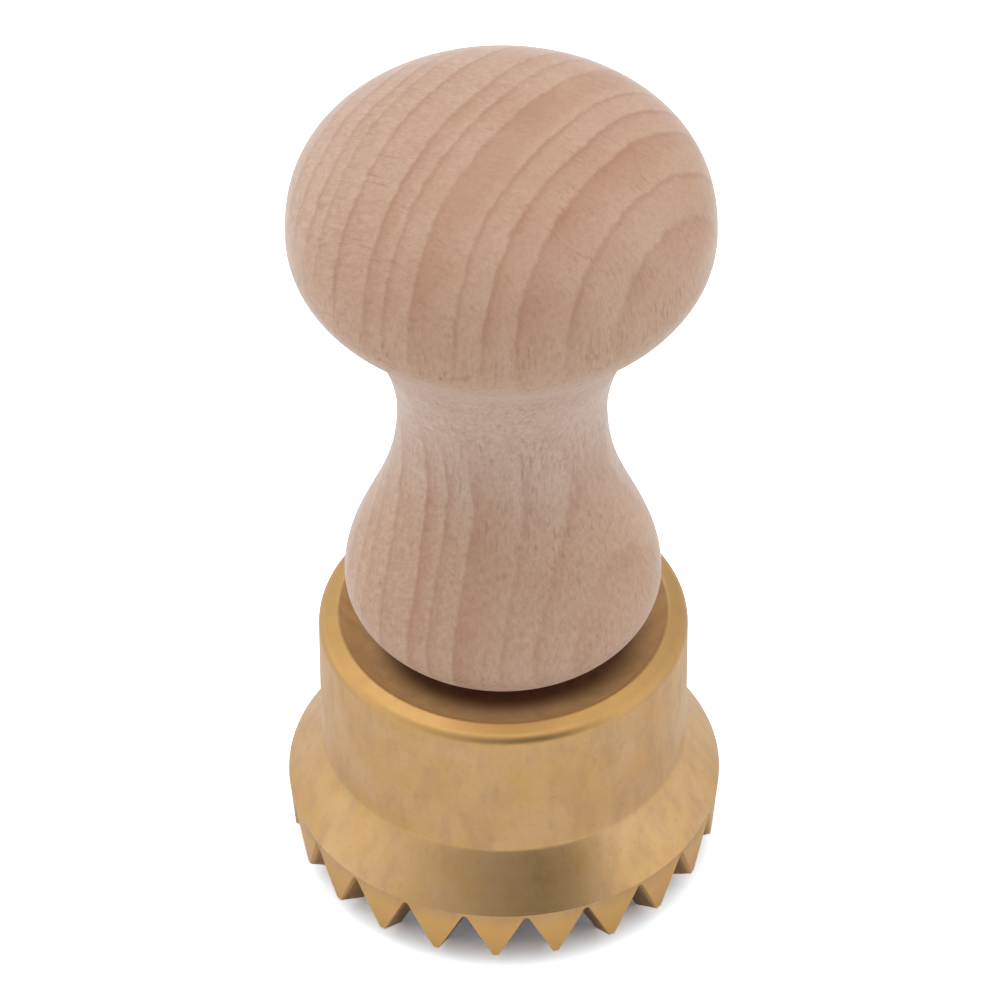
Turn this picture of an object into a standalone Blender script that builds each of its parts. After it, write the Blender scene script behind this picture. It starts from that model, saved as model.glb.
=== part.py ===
"""Ravioli stamp: a turned beech handle, screwed into the dish of a one-piece toothed brass die.

Metres, +Z up. The origin is on the axis, level with the lowest points of the teeth, on which
the stamp stands. The front of the stamp faces -Y.
"""
import math

import bmesh
import bpy
from mathutils import Matrix, Vector
from mathutils.geometry import interpolate_bezier

QUARTER = math.pi / 2

# Clearance between pieces that seat on each other
SEAT_GAP = 0.0003

# Toothed cutting edge
TOOTH_COUNT = 22
FIRST_TOOTH = math.radians(-92.5)
TIP_RADIUS = 0.0250
TIP_WALL = 0.0035
RIDGE_SLOPE = math.radians(26.6)
TOOTH_LAND = 0.00045
GROOVE_ANGLE = math.radians(53.2)
GROOVE_SLOPE = math.radians(36.4)
GROOVE_ROOT_RADIUS = 0.0004
GROOVE_OVERRUN = 0.0020

# Flange above the teeth, and the collar
RIM_OVERHANG = 0.00060
RIM_HEIGHT = 0.0071
CONE_SLOPE = math.radians(60)
COLLAR_RADIUS = 0.0216
COLLAR_HEIGHT = 0.0170
LIP_WIDTH = 0.0025
LIP_SLOPE = math.radians(24)
LIP_ROUNDING = 0.0009
DISH_DEPTH = 0.00315
DISH_CORNER = 0.0034
WEB_THICKNESS = 0.0050

# Inside of the die
SEAL_GROOVE_WIDTH = 0.0017
SEAL_GROOVE_DEPTH = 0.0060
SEAL_WIDTH = 0.0023
SEAL_HEIGHT = 0.0035
SEAL_ROUNDING = 0.0005
CAVITY_CORNER = 0.0030

# Handle
FOOT_RADIUS = 0.0095
BULB_RADIUS = 0.0184
BULB_HEIGHT = 0.0093
BULB_UNDERSIDE = 0.00995
NECK_RADIUS = 0.01202
NECK_LENGTH = 0.0253
NECK_PULL = 0.0134
BULB_PULL = 0.0069
COVE_RISE = 0.0046
COVE_PULL = 0.0090
BALL_JOIN_RADIUS = 0.0209
BALL_LIFT = 0.0258
BALL_RADIUS = 0.0242
BALL_UNDERSIDE = 0.0127
CROWN_HEIGHT = 0.01514
CROWN_EXPONENT = 2.54

# Fixing screw and washer
SHANK_RADIUS = 0.0022
SHANK_LENGTH = 0.0260
POINT_LENGTH = 0.0050
POINT_RADIUS = 0.0004
HEAD_RADIUS = 0.0042
HEAD_HEIGHT = 0.0026
HEAD_EDGE = 0.0009
SLOT_WIDTH = 0.0010
SLOT_DEPTH = 0.0012
WASHER_RADIUS = 0.0065
WASHER_THICKNESS = 0.0010
WASHER_CHAMFER = 0.00025
PILOT_SPARE = 0.0020

# Facets round each turned piece, and along its curves
DIE_STEPS = 66
HANDLE_STEPS = 48
HARDWARE_STEPS = 24
DISH_STEPS = 6
LIP_STEPS = 4
CORNER_STEPS = 5
ROUNDING_STEPS = 3
ROOT_STEPS = 4
CROWN_STEPS = 13
UNDERSIDE_STEPS = 8
NECK_STEPS = 12
SWELL_STEPS = 11
HEAD_STEPS = 6
SMOOTH_ANGLE = math.radians(20)
MERGE = 0.000005

# Heights and radii that follow from the sizes above
TIP_INNER_RADIUS = TIP_RADIUS - TIP_WALL
TIP_HEIGHT = TIP_WALL * math.tan(RIDGE_SLOPE)
RIM_RADIUS = TIP_RADIUS + RIM_OVERHANG
RIM_TOP = TIP_HEIGHT + RIM_HEIGHT
CONE_TOP = RIM_TOP + (RIM_RADIUS - COLLAR_RADIUS) * math.tan(CONE_SLOPE)
WALL_TOP = CONE_TOP + COLLAR_HEIGHT
LIP_EDGE_RADIUS = COLLAR_RADIUS - LIP_ROUNDING * (1 - math.sin(LIP_SLOPE))
LIP_EDGE_TOP = WALL_TOP + LIP_ROUNDING * math.cos(LIP_SLOPE)
DISH_RADIUS = COLLAR_RADIUS - LIP_WIDTH
LIP_TOP = LIP_EDGE_TOP + (LIP_EDGE_RADIUS - DISH_RADIUS) * math.tan(LIP_SLOPE)
DISH_FLOOR = LIP_TOP - DISH_DEPTH
CAVITY_TOP = DISH_FLOOR - WEB_THICKNESS
SEAL_OUTER_RADIUS = TIP_INNER_RADIUS - SEAL_GROOVE_WIDTH
CAVITY_RADIUS = SEAL_OUTER_RADIUS - SEAL_WIDTH
SCREW_HOLE_RADIUS = SHANK_RADIUS + SEAT_GAP
WASHER_TOP = CAVITY_TOP - SEAT_GAP
HEAD_TOP = WASHER_TOP - WASHER_THICKNESS - SEAT_GAP
SCREW_END = HEAD_TOP + SHANK_LENGTH
FOOT = DISH_FLOOR + SEAT_GAP
PILOT_END = SCREW_END + PILOT_SPARE
BULB_CENTRE = FOOT + BULB_HEIGHT
NECK_CENTRE = BULB_CENTRE + NECK_LENGTH
BALL_CENTRE = NECK_CENTRE + BALL_LIFT


def clear_scene():
    """Remove whatever objects the opened file holds."""
    for item in list(bpy.data.objects):
        bpy.data.objects.remove(item, do_unlink=True)


def new_collection(name):
    """Add a collection to the scene."""
    collection = bpy.data.collections.new(name)
    bpy.context.scene.collection.children.link(collection)
    return collection


def new_material(name, colour, roughness, metallic):
    """Make a plain Principled BSDF material."""
    material = bpy.data.materials.new(name)
    material.use_nodes = True
    shader = material.node_tree.nodes["Principled BSDF"]
    shader.inputs["Base Color"].default_value = (*colour, 1.0)
    shader.inputs["Roughness"].default_value = roughness
    shader.inputs["Metallic"].default_value = metallic
    material.diffuse_color = (*colour, 1.0)
    return material


def arc(centre, radii, start, end, steps):
    """Points of an elliptic arc in the profile plane, angles from +X towards +Z."""
    points = []
    for step in range(steps + 1):
        angle = start + (end - start) * step / steps
        points.append((centre[0] + radii[0] * math.cos(angle), centre[1] + radii[1] * math.sin(angle)))
    return points


def bezier(start, start_pull, end_pull, end, steps):
    """Points of a Bezier sweep in the profile plane, without its first point."""
    knots = [Vector((x, z, 0)) for x, z in (start, start_pull, end_pull, end)]
    return [(point.x, point.y) for point in interpolate_bezier(*knots, steps + 1)][1:]


def turned(name, profile, closed, steps, collection, material):
    """Turn a profile of (radius, height) points, listed down its outer side, about the Z axis."""
    mesh = bpy.data.meshes.new(name)
    count = len(profile)
    edges = [(index, index + 1) for index in range(count - 1)]
    if closed:
        edges.append((count - 1, 0))
    mesh.from_pydata([(radius, 0, height) for radius, height in profile], edges, [])
    piece = bpy.data.objects.new(name, mesh)
    collection.objects.link(piece)
    screw = piece.modifiers.new("Turn", "SCREW")
    screw.axis = "Z"
    screw.angle = math.tau
    screw.steps = steps
    screw.render_steps = steps
    screw.use_merge_vertices = True
    screw.merge_threshold = MERGE
    screw.use_smooth_shade = True
    mesh.materials.append(material)
    return piece


def cut(piece, cutter=None, cutters=None):
    """Take one cutter, or every cutter in a collection, away from a piece."""
    boolean = piece.modifiers.new("Cut", "BOOLEAN")
    boolean.operation = "DIFFERENCE"
    boolean.solver = "EXACT"
    if cutters:
        boolean.operand_type = "COLLECTION"
        boolean.collection = cutters
    else:
        boolean.object = cutter


def apply_and_smooth(piece):
    """Turn the modifiers into mesh, then shade it smooth with sharp edges at the corners."""
    depsgraph = bpy.context.evaluated_depsgraph_get()
    mesh = bpy.data.meshes.new_from_object(piece.evaluated_get(depsgraph))
    piece.modifiers.clear()
    piece.data = mesh
    mesh.name = piece.name
    mesh.shade_smooth()
    mesh.set_sharp_from_angle(angle=SMOOTH_ANGLE)


def as_cutter(piece):
    """Mark an object as a cutter."""
    piece.hide_render = True
    piece.display_type = "WIRE"


def die_profile():
    """Closed section of the die: dish, lip, collar, cone, teeth, sealing ring and cavity."""
    profile = [(SCREW_HOLE_RADIUS, DISH_FLOOR)]
    profile += arc((DISH_RADIUS - DISH_CORNER, LIP_TOP), (DISH_CORNER, DISH_DEPTH), -QUARTER, 0, DISH_STEPS)
    lip_centre = (COLLAR_RADIUS - LIP_ROUNDING, WALL_TOP)
    profile += arc(lip_centre, (LIP_ROUNDING, LIP_ROUNDING), QUARTER - LIP_SLOPE, 0, LIP_STEPS)
    profile += [
        (COLLAR_RADIUS, CONE_TOP),
        (RIM_RADIUS, RIM_TOP),
        (TIP_RADIUS, TIP_HEIGHT),
        (TIP_INNER_RADIUS, 0),
        (TIP_INNER_RADIUS, SEAL_HEIGHT + SEAL_GROOVE_DEPTH),
        (SEAL_OUTER_RADIUS, SEAL_HEIGHT + SEAL_GROOVE_DEPTH),
    ]
    rounding = (SEAL_ROUNDING, SEAL_ROUNDING)
    seal_edge = SEAL_HEIGHT + SEAL_ROUNDING
    profile += arc((SEAL_OUTER_RADIUS - SEAL_ROUNDING, seal_edge), rounding, 0, -QUARTER, ROUNDING_STEPS)
    profile += arc((CAVITY_RADIUS + SEAL_ROUNDING, seal_edge), rounding, -QUARTER, -math.pi, ROUNDING_STEPS)
    corner_centre = (CAVITY_RADIUS - CAVITY_CORNER, CAVITY_TOP - CAVITY_CORNER)
    profile += arc(corner_centre, (CAVITY_CORNER, CAVITY_CORNER), 0, QUARTER, CORNER_STEPS)
    profile.append((SCREW_HOLE_RADIUS, CAVITY_TOP))
    return profile


def groove_section():
    """Section of one V groove between two teeth, apex up, as (side, height) from its sharp apex."""
    half_angle = GROOVE_ANGLE / 2
    half_pitch = TIP_RADIUS * math.sin(math.pi / TOOTH_COUNT)
    depth = (half_pitch - TOOTH_LAND / 2) / math.tan(half_angle)
    reach = depth + GROOVE_OVERRUN
    half_mouth = reach * math.tan(half_angle)
    root_centre = -GROOVE_ROOT_RADIUS / math.sin(half_angle)
    root = []
    for step in range(ROOT_STEPS + 1):
        angle = half_angle + (math.pi - 2 * half_angle) * step / ROOT_STEPS
        side = GROOVE_ROOT_RADIUS * math.cos(angle)
        root.append((side, root_centre + GROOVE_ROOT_RADIUS * math.sin(angle)))
    return [(-half_mouth, -reach), (half_mouth, -reach)] + root, depth


def groove_mesh(section, length):
    """Prism of the groove section along local Y, rising outwards, its ends upright, as a closed mesh."""
    curve = bpy.data.curves.new("groove", "CURVE")
    curve.dimensions = "2D"
    curve.fill_mode = "BOTH"
    curve.extrude = length / 2
    spline = curve.splines.new("POLY")
    spline.points.add(len(section) - 1)
    for point, (side, height) in zip(spline.points, section):
        point.co = (side, height, 0, 1)
    spline.use_cyclic_u = True
    outline = bpy.data.objects.new("groove", curve)
    bpy.context.scene.collection.objects.link(outline)
    depsgraph = bpy.context.evaluated_depsgraph_get()
    mesh = bpy.data.meshes.new_from_object(outline.evaluated_get(depsgraph))
    bpy.data.objects.remove(outline)
    solid = bmesh.new()
    solid.from_mesh(mesh)
    bmesh.ops.remove_doubles(solid, verts=solid.verts, dist=MERGE)
    bmesh.ops.rotate(solid, verts=solid.verts, matrix=Matrix.Rotation(QUARTER, 3, "X"))
    slant = Matrix.Identity(4)
    slant[2][1] = math.tan(GROOVE_SLOPE)
    bmesh.ops.transform(solid, verts=solid.verts, matrix=slant)
    solid.to_mesh(mesh)
    solid.free()
    return mesh


def add_groove_cutters(cutters):
    """Put one V groove cutter between each two teeth, sloping down towards the inside."""
    section, depth = groove_section()
    inner_radius = TIP_INNER_RADIUS - SEAL_GROOVE_WIDTH / 2
    outer_radius = RIM_RADIUS + GROOVE_OVERRUN
    mesh = groove_mesh(section, outer_radius - inner_radius)
    apex_at_tip = TIP_HEIGHT + depth
    middle_radius = (inner_radius + outer_radius) / 2
    middle_height = apex_at_tip + (middle_radius - TIP_RADIUS) * math.tan(GROOVE_SLOPE)
    for index in range(TOOTH_COUNT):
        turn = FIRST_TOOTH + (index + 0.5) * math.tau / TOOTH_COUNT - QUARTER
        place = Matrix.Rotation(turn, 4, "Z") @ Matrix.Translation((0, middle_radius, middle_height))
        cutter = bpy.data.objects.new(f"groove_cutter_{index + 1}", mesh)
        cutters.objects.link(cutter)
        cutter.matrix_world = place
        as_cutter(cutter)


def add_die(parts, cutters):
    """Brass die: collar with a dish for the handle, flange, teeth and sealing ring."""
    brass = new_material("brass", (0.62, 0.42, 0.19), 0.35, 1.0)
    die = turned("die", die_profile(), True, DIE_STEPS, parts, brass)
    add_groove_cutters(cutters)
    cut(die, cutters=cutters)
    return die


def handle_profile():
    """Section of the handle, from the crown down the outside, then up the pilot hole."""
    profile = []
    for step in range(CROWN_STEPS + 1):
        angle = QUARTER * step / CROWN_STEPS
        radius = BALL_RADIUS * math.sin(angle) ** (2 / CROWN_EXPONENT)
        height = BALL_CENTRE + CROWN_HEIGHT * max(math.cos(angle), 0) ** (2 / CROWN_EXPONENT)
        profile.append((radius, height))
    join = math.acos(BALL_JOIN_RADIUS / BALL_RADIUS)
    profile += arc((0, BALL_CENTRE), (BALL_RADIUS, BALL_UNDERSIDE), 0, -join, UNDERSIDE_STEPS)[1:]
    top = profile[-1]
    waist = (NECK_RADIUS, NECK_CENTRE)
    inward, down = BALL_RADIUS * math.sin(join), BALL_UNDERSIDE * math.cos(join)
    share = COVE_PULL / math.hypot(inward, down)
    top_pull = (top[0] - inward * share, top[1] - down * share)
    profile += bezier(top, top_pull, (waist[0], waist[1] + COVE_RISE), waist, NECK_STEPS)
    bulb = (BULB_RADIUS, BULB_CENTRE)
    waist_pull = (waist[0], waist[1] - NECK_PULL)
    profile += bezier(waist, waist_pull, (bulb[0], bulb[1] + BULB_PULL), bulb, SWELL_STEPS)
    foot = math.acos(FOOT_RADIUS / BULB_RADIUS)
    profile += arc((0, BULB_CENTRE), (BULB_RADIUS, BULB_UNDERSIDE), 0, -foot, UNDERSIDE_STEPS)[1:]
    profile += [
        (FOOT_RADIUS, FOOT),
        (SCREW_HOLE_RADIUS, FOOT),
        (SCREW_HOLE_RADIUS, PILOT_END),
        (0, PILOT_END),
    ]
    return profile


def add_handle(parts):
    """Turned beech handle: ball, neck, bulb and a flat foot with a blind pilot hole."""
    beech = new_material("beech", (0.60, 0.38, 0.25), 0.55, 0.0)
    return turned("handle", handle_profile(), False, HANDLE_STEPS, parts, beech)


def add_washer(parts):
    """Flat washer between the screw head and the web of the die."""
    steel = new_material("washer_steel", (0.55, 0.55, 0.56), 0.35, 1.0)
    low = WASHER_TOP - WASHER_THICKNESS
    profile = [
        (SCREW_HOLE_RADIUS, WASHER_TOP),
        (WASHER_RADIUS - WASHER_CHAMFER, WASHER_TOP),
        (WASHER_RADIUS, WASHER_TOP - WASHER_CHAMFER),
        (WASHER_RADIUS, low + WASHER_CHAMFER),
        (WASHER_RADIUS - WASHER_CHAMFER, low),
        (SCREW_HOLE_RADIUS, low),
    ]
    return turned("washer", profile, True, HARDWARE_STEPS, parts, steel)


def add_slot_cutter(cutters):
    """Box for the driver slot across the screw head."""
    low = HEAD_TOP - HEAD_HEIGHT - SLOT_DEPTH
    size = (4 * HEAD_RADIUS, SLOT_WIDTH, 2 * SLOT_DEPTH)
    bpy.ops.mesh.primitive_cube_add(size=1, location=(0, 0, low + size[2] / 2))
    slot = bpy.context.object
    slot.name = "slot_cutter"
    slot.scale = size
    bpy.ops.object.transform_apply(location=False, rotation=False, scale=True)
    for collection in list(slot.users_collection):
        collection.objects.unlink(slot)
    cutters.objects.link(slot)
    as_cutter(slot)
    return slot


def add_screw(parts, cutters):
    """Pan head screw, driven up through washer and web into the handle."""
    steel = new_material("screw_steel", (0.60, 0.60, 0.61), 0.30, 1.0)
    profile = [
        (0, SCREW_END),
        (POINT_RADIUS, SCREW_END),
        (SHANK_RADIUS, SCREW_END - POINT_LENGTH),
        (SHANK_RADIUS, HEAD_TOP),
        (HEAD_RADIUS, HEAD_TOP),
    ]
    crown = (HEAD_RADIUS, HEAD_HEIGHT - HEAD_EDGE)
    profile += arc((0, HEAD_TOP - HEAD_EDGE), crown, 0, -QUARTER, HEAD_STEPS)
    screw = turned("fixing_screw", profile, False, HARDWARE_STEPS, parts, steel)
    cut(screw, cutter=add_slot_cutter(cutters))
    return screw


def main():
    clear_scene()
    parts = new_collection("ravioli_stamp")
    groove_cutters = new_collection("groove_cutters")
    slot_cutters = new_collection("slot_cutters")
    pieces = [
        add_handle(parts),
        add_die(parts, groove_cutters),
        add_washer(parts),
        add_screw(parts, slot_cutters),
    ]
    for piece in pieces:
        apply_and_smooth(piece)


main()
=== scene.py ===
"""Looks of the ravioli stamp: turned beech handle, satin brass die, steel screw and washer.

Metres, +Z up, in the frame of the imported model. Lengths inside the materials are in millimetres.
"""
import math

import bmesh
import bpy
from mathutils import Matrix, Vector


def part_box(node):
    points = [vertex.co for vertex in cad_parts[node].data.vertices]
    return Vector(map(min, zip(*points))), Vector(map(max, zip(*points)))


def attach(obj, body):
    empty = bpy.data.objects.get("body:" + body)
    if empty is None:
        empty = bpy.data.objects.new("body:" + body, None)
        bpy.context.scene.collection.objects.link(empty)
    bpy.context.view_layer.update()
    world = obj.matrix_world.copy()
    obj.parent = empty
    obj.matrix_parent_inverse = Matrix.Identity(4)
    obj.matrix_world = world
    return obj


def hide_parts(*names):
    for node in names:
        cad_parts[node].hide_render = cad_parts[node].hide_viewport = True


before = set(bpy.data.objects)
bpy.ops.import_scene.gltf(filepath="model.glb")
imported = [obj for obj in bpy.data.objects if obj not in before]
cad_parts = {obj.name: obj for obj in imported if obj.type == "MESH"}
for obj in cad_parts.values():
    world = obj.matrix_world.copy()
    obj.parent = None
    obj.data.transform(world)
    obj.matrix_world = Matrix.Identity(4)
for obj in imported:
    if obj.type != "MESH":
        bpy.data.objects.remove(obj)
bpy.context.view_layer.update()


def linear(red, green, blue):
    """Linear colour of an sRGB colour given in 0 to 255."""
    values = []
    for value in (red, green, blue):
        value /= 255
        values.append(value / 12.92 if value <= 0.04045 else ((value + 0.055) / 1.055) ** 2.4)
    return (*values, 1.0)


QUARTER = math.pi / 2
WELD_DISTANCE = 1e-7
MM = 1000
WHITE = (1.0, 1.0, 1.0, 1.0)

# Camera
PITCH = math.radians(42.37)
CAMERA_DISTANCE = 0.8806
TARGET_HEIGHT = 0.05123
LENS_MM = 275.0
SENSOR_MM = 36.0
AXIS_OFFSET = 0.0027
ROLL = math.radians(0.3)
CLIP_NEAR = 0.05
CLIP_FAR = 20

# Floor: its shade as a reflector, and the red, green and blue that the camera gets from it
FLOOR_SIZE = 6.0
FLOOR_SHADE = 0.90
FLOOR_SEEN = (1.90, 2.00, 2.10)
FLOOR_GLOW = (0.02, 0.04, 0.06)
FLOOR_GLOSSY_GLOW = 0.05

# Light tent: its strength, how that changes from left to right, from the side up to the top and
# towards the back, and the dark opening low in front
TENT_LIGHT = 1.12
LEFT_RIGHT = -0.12
TENT_RISE = (0.0, 1.0, 1.30, 1.0)
TENT_BACK = (0.2, 0.9, 1.0, 0.68)
OPENING_AZIMUTH = math.radians(20)
OPENING_RIGHT = (math.radians(8), math.radians(48), 1.0, 0.0)
OPENING_LEFT = (-math.radians(130), -math.radians(8), 0.0, 1.0)
OPENING_UP = (math.radians(32), math.radians(72), 1.0, 0.0)
OPENING_SHADE = 0.10

# Lamp above
LAMP_PLACE = (-0.5, 0.1, 1.2)
LAMP_AIM = (0, 0, 0.05)
LAMP_SIZE = 0.9
LAMP_POWER = 0.8

# Die
TOOTH_COUNT = 22
FIRST_TOOTH = math.radians(-92.5)
TIP_RADIUS = 0.0250
TIP_WALL = 0.0035
RIDGE_SLOPE = math.radians(26.6)
TOOTH_LAND = 0.00045
GROOVE_ANGLE = math.radians(53.2)
GROOVE_SLOPE = math.radians(36.4)
GROOVE_ROOT_RADIUS = 0.0004
RIM_OVERHANG = 0.00060
RIM_HEIGHT = 0.0071
CONE_SLOPE = math.radians(60)
COLLAR_RADIUS = 0.0216
COLLAR_HEIGHT = 0.01646
LIP_WIDTH = 0.0027
LIP_SLOPE = math.radians(24)
LIP_ROUNDING = 0.0016
LIP_INNER_EDGE = 0.0005
DISH_DEPTH = 0.00315
DISH_CORNER = 0.0042
DISH_WALL = math.radians(46)
DISH_PULL = 0.0020
WEB_THICKNESS = 0.0050
SEAL_GROOVE_WIDTH = 0.0017
SEAL_GROOVE_DEPTH = 0.0060
SEAL_WIDTH = 0.0023
SEAL_HEIGHT = 0.0035
SEAL_ROUNDING = 0.0005
CAVITY_CORNER = 0.0030
EDGE_BREAK = 0.00010
HOLE_BREAK = 0.0003

# Small roundings of the die, outwards and upwards from the corner that they round
CONE_FILLET = ((0.0, 0.0003), (0.00004, 0.00009), (0.00016, -0.00020))
RIM_EDGE = ((-0.00008, 0.00014), (-0.00002, 0.00003))

# Mesh of the teeth: columns across half a groove and half a tooth, and shares of the way for the
# rows down the outer face, across the underside and up the inner wall
ROOT_COLUMNS = 4
FLANK_COLUMNS = 6
LAND_COLUMNS = 2
FACE_SHARES = (0.0, 0.25, 0.5, 0.75)
UNDER_SHARES = (0.2, 0.4, 0.6, 0.8)
WALL_SHARES = (0.0, 0.33, 0.67)
HALVINGS = 30
EDGE_PASSES = 3

# Handle
FOOT_RADIUS = 0.0095
FOOT_BREAK = 0.0002
BULB_RADIUS = 0.0184
BULB_HEIGHT = 0.0093
BULB_UNDERSIDE = 0.00995
NECK_RADIUS = 0.01202
NECK_LENGTH = 0.0253
NECK_PULL = 0.0134
BULB_PULL = 0.0069
COVE_RISE = 0.0046
COVE_PULL = 0.0090
BALL_JOIN_RADIUS = 0.0209
BALL_LIFT = 0.0258
BALL_RADIUS = 0.0242
BALL_UNDERSIDE = 0.0127
CROWN_HEIGHT = 0.01514
CROWN_EXPONENT = 2.54
CROWN_STEPS = 48
HANDLE_COLUMNS = 320
PILOT_SPARE = 0.002

# Screw and washer
SHANK_RADIUS = 0.0022
POINT_RADIUS = 0.0004
POINT_LENGTH = 0.005
HEAD_RADIUS = 0.0042
HEAD_HEIGHT = 0.0026
HEAD_EDGE = 0.0009
HEAD_BREAK = 0.0001
HEAD_FILLET = 0.0002
SLOT_WIDTH = 0.0010
SLOT_DEPTH = 0.0012
SLOT_LENGTH = 4 * HEAD_RADIUS
SCREW_COLUMNS = 96
WASHER_RADIUS = 0.0065
WASHER_EDGE = 0.0002
WASHER_COLUMNS = 128
HOLE_RADIUS = 0.0025

# Edges stay sharp where faces meet at more than these degrees
SHARP_TURNED = 40
SHARP_DIE = 24
SHARP_SLOT = 35

# Heights and radii that follow
TIP_INNER = TIP_RADIUS - TIP_WALL
TIP_HEIGHT = TIP_WALL * math.tan(RIDGE_SLOPE)
RIM_RADIUS = TIP_RADIUS + RIM_OVERHANG
RIM_TOP = TIP_HEIGHT + RIM_HEIGHT
CONE_TOP = RIM_TOP + (RIM_RADIUS - COLLAR_RADIUS) * math.tan(CONE_SLOPE)
WALL_TOP = CONE_TOP + COLLAR_HEIGHT
LIP_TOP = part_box("die")[1].z
DISH_FLOOR = LIP_TOP - DISH_DEPTH
CAVITY_TOP = DISH_FLOOR - WEB_THICKNESS
SEAL_OUTER = TIP_INNER - SEAL_GROOVE_WIDTH
CAVITY_RADIUS = SEAL_OUTER - SEAL_WIDTH
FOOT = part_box("handle")[0].z
BULB_CENTRE = FOOT + BULB_HEIGHT
NECK_CENTRE = BULB_CENTRE + NECK_LENGTH
BALL_CENTRE = NECK_CENTRE + BALL_LIFT
PILOT_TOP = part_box("fixing_screw")[1].z + PILOT_SPARE

# Growth rings: place across the handle in mm, depth of colour, width of the dark latewood in mm,
# and strength of the thin line at its edge
GROWTH_RINGS = (
    (-24.0, 0.35, 1.4, 0.3),
    (-21.5, 0.40, 1.5, 0.4),
    (-19.3, 0.40, 1.3, 0.5),
    (-17.0, 0.45, 1.2, 0.6),
    (-14.6, 0.50, 1.3, 0.5),
    (-12.8, 0.45, 1.6, 0.4),
    (-9.7, 0.50, 2.0, 0.8),
    (-5.2, 0.75, 1.6, 0.6),
    (-2.5, 0.55, 1.3, 0.6),
    (0.7, 0.85, 3.8, 0.3),
    (6.0, 0.45, 1.2, 0.9),
    (9.4, 0.85, 1.3, 0.7),
    (12.8, 1.00, 2.4, 0.4),
    (17.7, 0.50, 1.6, 0.7),
    (21.5, 0.55, 1.8, 0.3),
    (25.0, 0.0, 1.0, 0.0),
)
LEFT_RINGS = 8
RING_AZIMUTH = math.radians(56.2)
RING_SPAN = 54.0
RING_LEAN = 0.013
RING_SHIFT = -0.98
RING_CURVE = 0.0052
RING_WANDER = 1.2
RING_RIPPLE = 1.0
RING_SOFT = 0.20
LINE_BEFORE = 0.3
LINE_AFTER = 0.5
LATE_REST = 0.45
RAY_TILT = -0.30

# Colours of the beech between the rings
WOOD_TAN = linear(204, 166, 138)
WOOD_LIGHT = linear(213, 180, 155)
WOOD_ROSY = linear(208, 167, 146)
# Painted sheen: paler, whiter wood laid on the handle's left side, where the lit edge shows a whitish sheen
WOOD_PAINTED_SHEEN = linear(217, 188, 166)
# Painted light from below: lighter, yellower wood on the lower half of the ball, standing in for light from
# the floor and sheen on its underside
WOOD_PAINTED_BOUNCE_BALL = linear(211, 181, 151)
# Painted light from below: lighter wood on the lower part of the bulb, above the die
WOOD_PAINTED_BOUNCE_BULB = linear(218, 190, 169)
# Paler, greyer tone of the neck, carried up under the ball, where it is painted light from below and sheen
WOOD_NECK_AND_PAINTED_LIGHT = linear(222, 198, 183)

# Colours of its figure
LATEWOOD = linear(181, 131, 103)
RING_LINE = linear(146, 98, 74)
MOTTLE = linear(168, 124, 98)
CURL = linear(172, 128, 104)
RAY = linear(158, 110, 86)
FLECK = linear(140, 96, 72)
FINE_RAY = linear(164, 118, 92)
PORE = linear(154, 110, 86)
TORN = linear(132, 90, 68)
AMBER = linear(186, 134, 100)

# Depth of each of these colours
# share of the painted light from below on the lower ball
PAINTED_BOUNCE_BALL_DEPTH = 0.45
NECK_AND_PAINTED_LIGHT_DEPTH = 0.7
LATE_DEPTH = 0.75
LINE_DEPTH_BALL = 0.40
LINE_DEPTH_BULB = 0.24
MOTTLE_DEPTH = 0.26
MOTTLE_MORE = 0.14
RAY_DEPTH = 0.30
FLECK_DEPTH = 0.14
FLECK_MORE = 0.36
PORE_DEPTH = 0.22
TORN_DEPTH = 0.34
AMBER_DEPTH = 0.45

# Zones up the handle: from and to in mm, and the share at either end
# Lower half of the ball: painted light from below there, and more mottle and flecks
LOW_BALL = (90, 100, 1.0, 0.0)
UNDER_BALL = (74, 82, 0.0, 1.0)
ON_BULB = (60, 72, 1.0, 0.0)
# Painted light from below on the lower part of the bulb
PAINTED_BOUNCE_BULB = (35, 46, 0.65, 0.0)
# Neck, and the underside of the ball above it, where the paler tone is painted light
NECK = ((50, 68, 0.0, 1.0), (80, 90, 1.0, 0.0))
TORN_NECK = ((44, 56, 0.0, 1.0), (70, 78, 1.0, 0.0))
AMBER_NECK = ((60, 66, 0.0, 1.0), (74, 79, 1.0, 0.0))
HOLLOW = ((74, 78, 0.0, 1.0), (86, 90, 1.0, 0.0))
RINGS_ON_BALL = (88, 100, 0.15, 1.0)
RING_KINK = (60, 80, -2.1, 0.0)
SHEEN = (35, 44, 0.40, 0.95)
SHEEN_IN_HOLLOW = -0.75
SHEEN_ROUGHNESS = 0.30

# Zones across the growth rings, likewise
RINGS_ON_BULB = (4, 14, 1.15, 0.45)
# Painted sheen on the handle's left side
PAINTED_SHEEN_SIDE = (-18, 2, 0.8, 0.0)
CURL_SIDE = (-6, 6, 0.24, 0.03)
FINE_RAY_SIDE = (-4, 10, 0.20, 0.06)
TORN_SIDE = (-9, 3, 0.25, 1.0)

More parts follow.
